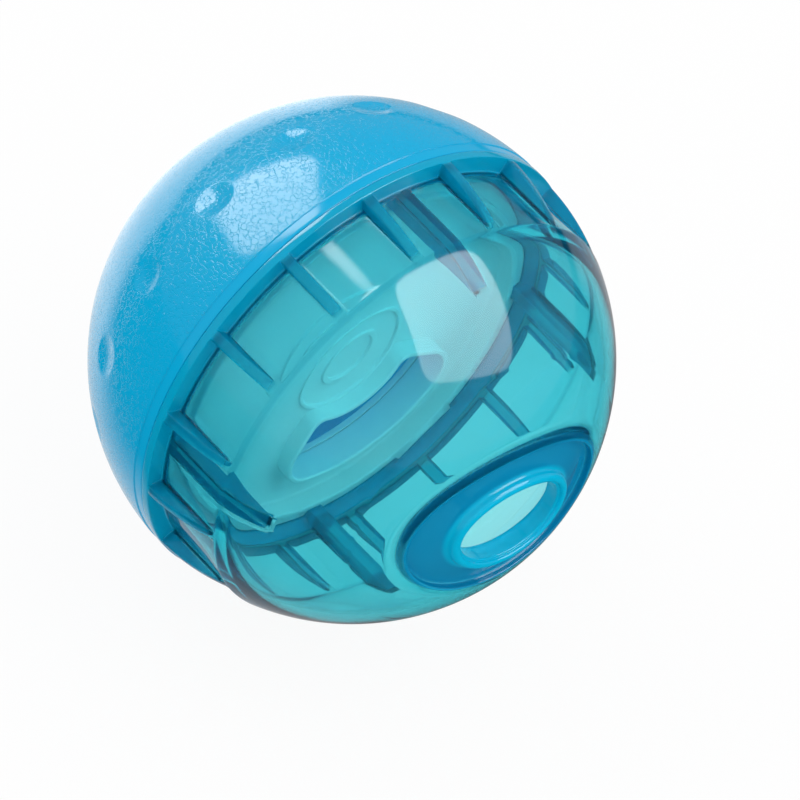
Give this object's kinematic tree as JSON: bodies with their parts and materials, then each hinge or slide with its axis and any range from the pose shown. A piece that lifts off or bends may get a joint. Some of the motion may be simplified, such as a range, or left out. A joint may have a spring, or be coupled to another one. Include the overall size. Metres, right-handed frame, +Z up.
{
  "type": "treat ball",
  "caption": "Pet treat ball in two screwed halves, opaque dome and clear ribbed bowl, with an inner drum, turning shutter and lipped oval exit.",
  "frame": {"origin": "centre of the closed ball", "axes": "+X runs along the screw axis to the exit, +Z is up, and the exit's long way lies along Y"},
  "size_m": [0.1261, 0.127, 0.127],
  "materials": {
    "opaque_blue": "fine leather-like grain, smooth rim",
    "clear_blue": "clear, polished",
    "white_plastic": "milky, slightly translucent"
  },
  "bodies": {
    "bowl": {"clear_bowl": "clear_blue"},
    "drum": {"partition_drum": "white_plastic"},
    "dome": {"opaque_dome": "opaque_blue"},
    "shutter": {"shutter_disc": "white_plastic"}
  },
  "joints": [
    {"name": "dome_lift", "type": "slide", "parent": "bowl", "child": "drum", "axis": [-1, 0, 0], "range_m": [0, 0.01]},
    {"name": "dome_turn", "type": "hinge", "parent": "drum", "child": "dome", "pos_m": [0, 0, 0], "axis": [-1, 0, 0], "range_deg": [0, 450]},
    {"name": "shutter_turn", "type": "hinge", "parent": "drum", "child": "shutter", "pos_m": [-0.008, 0, 0], "axis": [-1, 0, 0], "continuous": true}
  ],
  "couplings": [
    {"joint": "dome_lift", "follows": "dome_turn", "m_per_rad": 0.0012732}
  ]
}
